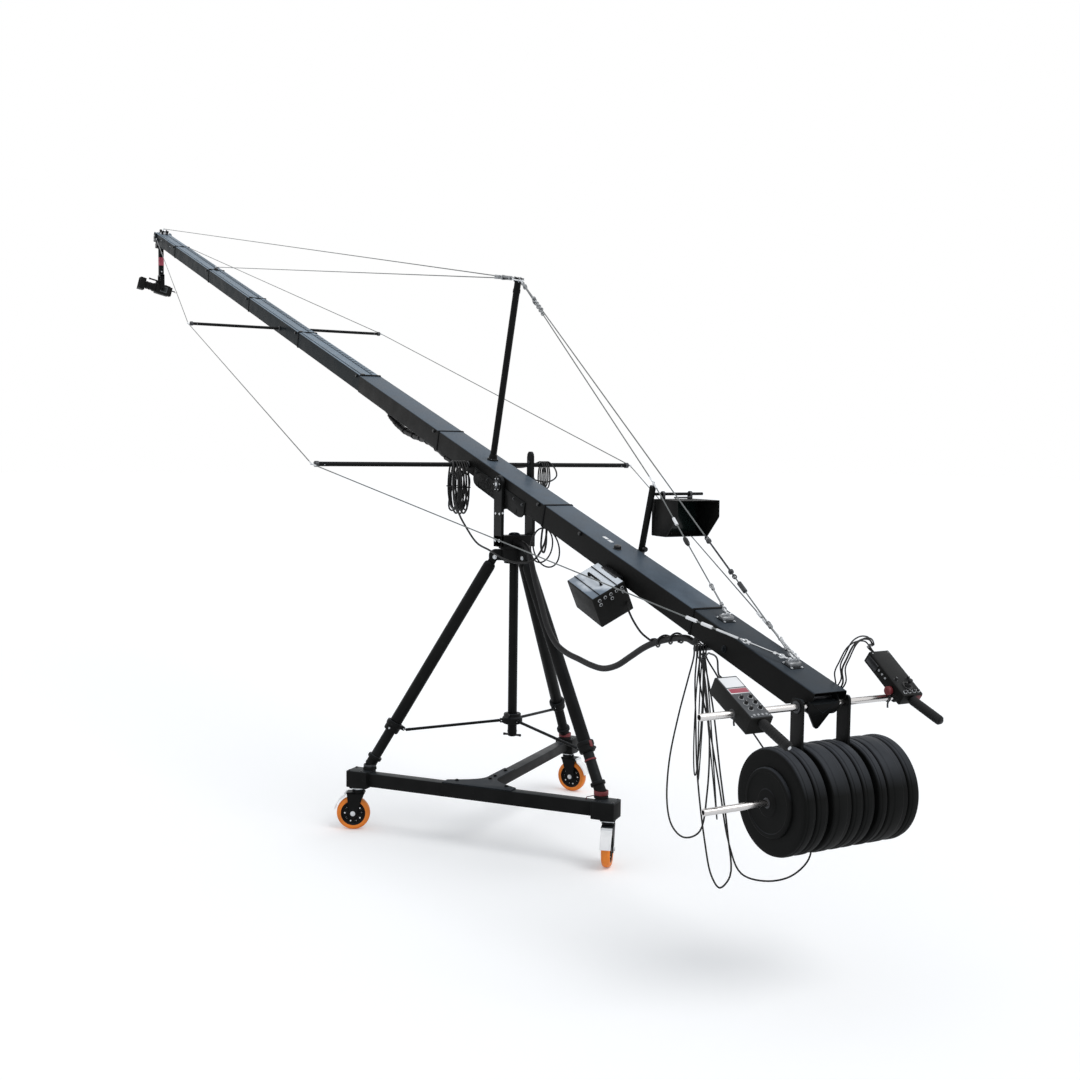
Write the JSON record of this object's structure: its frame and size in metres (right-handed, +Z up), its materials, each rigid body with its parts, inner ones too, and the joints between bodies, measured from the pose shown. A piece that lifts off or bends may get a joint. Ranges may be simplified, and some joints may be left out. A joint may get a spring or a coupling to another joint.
{
  "type": "camera jib crane",
  "caption": "Counterweighted camera jib: a sectional stayed boom with a levelled remote head, on a tripod dolly with casters.",
  "frame": {"origin": "on the floor, under the middle of the box around everything but the loose cables", "axes": "+X along the boom from its weights towards the camera head, +Y to the left of someone who stands at the weights and looks along the boom, +Z up"},
  "size_m": [12.2878, 2.2306, 4.8267],
  "materials": {
    "boom_paint": "satin",
    "leg_paint": "satin",
    "dolly_paint": "satin",
    "orange_tyre": "satin",
    "pedal_white": "gloss",
    "bright_bar": "satin",
    "wire_steel": "satin",
    "plate_rubber": "matte",
    "case_black": "matte",
    "cable_black": "matte"
  },
  "bodies": {
    "dolly": {"cross_beam": "dolly_paint", "tail_beam": "dolly_paint", "gusset_plate": "dolly_paint", "tripod_crown": "leg_paint", "center_column": "leg_paint", "spreader_hub": "dolly_paint", "leg_outer_left": "leg_paint", "leg_inner_left": "leg_paint", "spreader_bar_left": "dolly_paint", "leg_outer_rear": "leg_paint", "leg_inner_rear": "leg_paint", "spreader_bar_rear": "dolly_paint", "leg_outer_right": "leg_paint", "leg_inner_right": "leg_paint", "spreader_bar_right": "dolly_paint"},
    "caster_left": {"caster_fork_left": "dolly_paint"},
    "wheel_left": {"caster_wheel_left": "orange_tyre"},
    "pedal_left": {"brake_pedal_left": "pedal_white"},
    "caster_rear": {"caster_fork_rear": "dolly_paint"},
    "wheel_rear": {"caster_wheel_rear": "orange_tyre"},
    "pedal_rear": {"brake_pedal_rear": "pedal_white"},
    "caster_right": {"caster_fork_right": "dolly_paint"},
    "wheel_right": {"caster_wheel_right": "orange_tyre"},
    "pedal_right": {"brake_pedal_right": "pedal_white"},
    "pan_head": {"yoke": "leg_paint", "harness": "cable_black"},
    "boom": {"tilt_cradle": "boom_paint", "boom_tail": "boom_paint", "boom_section_1": "boom_paint", "boom_section_2": "boom_paint", "boom_section_3": "boom_paint", "boom_section_4": "boom_paint", "boom_section_5": "boom_paint", "boom_section_6": "boom_paint", "boom_section_7": "boom_paint", "boom_tip": "boom_paint", "main_mast": "leg_paint", "small_mast": "leg_paint", "outrigger_rear": "leg_paint", "outrigger_front": "leg_paint", "stay_wires": "wire_steel", "side_wire_left": "wire_steel", "side_wire_right": "wire_steel", "handle_bar": "bright_bar", "power_box": "case_black", "head_cable": "cable_black", "right_coil": "cable_black", "left_control_cable": "cable_black", "right_control_cable": "cable_black"},
    "hanger": {"weight_hanger": "dolly_paint", "weight_plates_left": "plate_rubber", "weight_plates_middle": "plate_rubber", "weight_plates_right": "plate_rubber"},
    "left_controller": {"controller_left": "case_black"},
    "right_controller": {"controller_right": "case_black"},
    "stick": {"joystick": "case_black"},
    "monitor_unit": {"monitor": "case_black"},
    "levelling_head": {"head_mount": "leg_paint"},
    "pan_post": {"head_post": "leg_paint"},
    "camera_unit": {"camera": "case_black"}
  },
  "joints": [
    {"name": "swivel_left", "type": "hinge", "parent": "dolly", "child": "caster_left", "pos_m": [-2.73427, 0.85265, 0.262], "axis": [0, 0, 1], "continuous": true},
    {"name": "roll_left", "type": "hinge", "parent": "caster_left", "child": "wheel_left", "pos_m": [-2.71972, 0.87889, 0.1], "axis": [-0.8746, 0.4848, 0], "continuous": true},
    {"name": "brake_left", "type": "hinge", "parent": "caster_left", "child": "pedal_left", "pos_m": [-2.69776, 0.91851, 0.222], "axis": [0.8746, -0.4848, 0], "range_deg": [0, 10]},
    {"name": "swivel_rear", "type": "hinge", "parent": "dolly", "child": "caster_rear", "pos_m": [-3.99098, -0.12709, 0.262], "axis": [0, 0, 1], "continuous": true},
    {"name": "roll_rear", "type": "hinge", "parent": "caster_rear", "child": "wheel_rear", "pos_m": [-4.01429, -0.10821, 0.1], "axis": [-0.6293, -0.7771, 0], "continuous": true},
    {"name": "brake_rear", "type": "hinge", "parent": "caster_rear", "child": "pedal_rear", "pos_m": [-4.0495, -0.0797, 0.222], "axis": [0.6293, 0.7771, 0], "range_deg": [0, 10]},
    {"name": "swivel_right", "type": "hinge", "parent": "dolly", "child": "caster_right", "pos_m": [-2.51415, -0.72556, 0.262], "axis": [0, 0, 1], "continuous": true},
    {"name": "roll_right", "type": "hinge", "parent": "caster_right", "child": "wheel_right", "pos_m": [-2.53987, -0.74101, 0.1], "axis": [0.515, -0.8572, 0], "continuous": true},
    {"name": "brake_right", "type": "hinge", "parent": "caster_right", "child": "pedal_right", "pos_m": [-2.5787, -0.76435, 0.222], "axis": [-0.515, 0.8572, 0], "range_deg": [0, 10]},
    {"name": "pan", "type": "hinge", "parent": "dolly", "child": "pan_head", "pos_m": [-3.0798, 0, 1.69], "axis": [0, 0, 1], "continuous": true},
    {"name": "arm_tilt", "type": "hinge", "parent": "pan_head", "child": "boom", "pos_m": [-3.0798, 0, 2.075], "axis": [0, -1, 0], "range_deg": [-22, 8], "deforming": ["harness"]},
    {"name": "head_level", "type": "hinge", "parent": "boom", "child": "levelling_head", "pos_m": [6.07383, 0, 4.734], "axis": [0, -1, 0], "range_deg": [-10, 24]},
    {"name": "head_pan", "type": "hinge", "parent": "levelling_head", "child": "pan_post", "pos_m": [6.07383, 0, 4.614], "axis": [0, 0, 1], "range_deg": [-175, 175]},
    {"name": "camera_tilt", "type": "hinge", "parent": "pan_post", "child": "camera_unit", "pos_m": [6.07383, 0, 4.124], "axis": [1, 0, 0], "range_deg": [-60, 26]},
    {"name": "hanger_swing", "type": "hinge", "parent": "boom", "child": "hanger", "pos_m": [-5.84774, 0, 1.24009], "axis": [0, -1, 0], "range_deg": [-12, 24]},
    {"name": "left_controller_tilt", "type": "hinge", "parent": "boom", "child": "left_controller", "pos_m": [-5.84774, 0.405, 1.24009], "axis": [0, -1, 0], "range_deg": [-12, 12], "deforming": ["left_control_cable"]},
    {"name": "right_controller_tilt", "type": "hinge", "parent": "boom", "child": "right_controller", "pos_m": [-5.84774, -0.425, 1.24009], "axis": [0, -1, 0], "range_deg": [-12, 12], "deforming": ["right_control_cable"]},
    {"name": "joystick_tilt", "type": "hinge", "parent": "right_controller", "child": "stick", "pos_m": [-5.9033, -0.425, 1.29156], "axis": [0, -1, 0], "range_deg": [-15, 15], "stiffness_Nm_per_rad": 0.2},
    {"name": "monitor_tilt", "type": "hinge", "parent": "boom", "child": "monitor_unit", "pos_m": [-4.391, -0.26, 2.06318], "axis": [0, -1, 0], "range_deg": [-25, 25]}
  ],
  "couplings": [
    {"joint": "head_level", "follows": "arm_tilt", "ratio": -1}
  ]
}
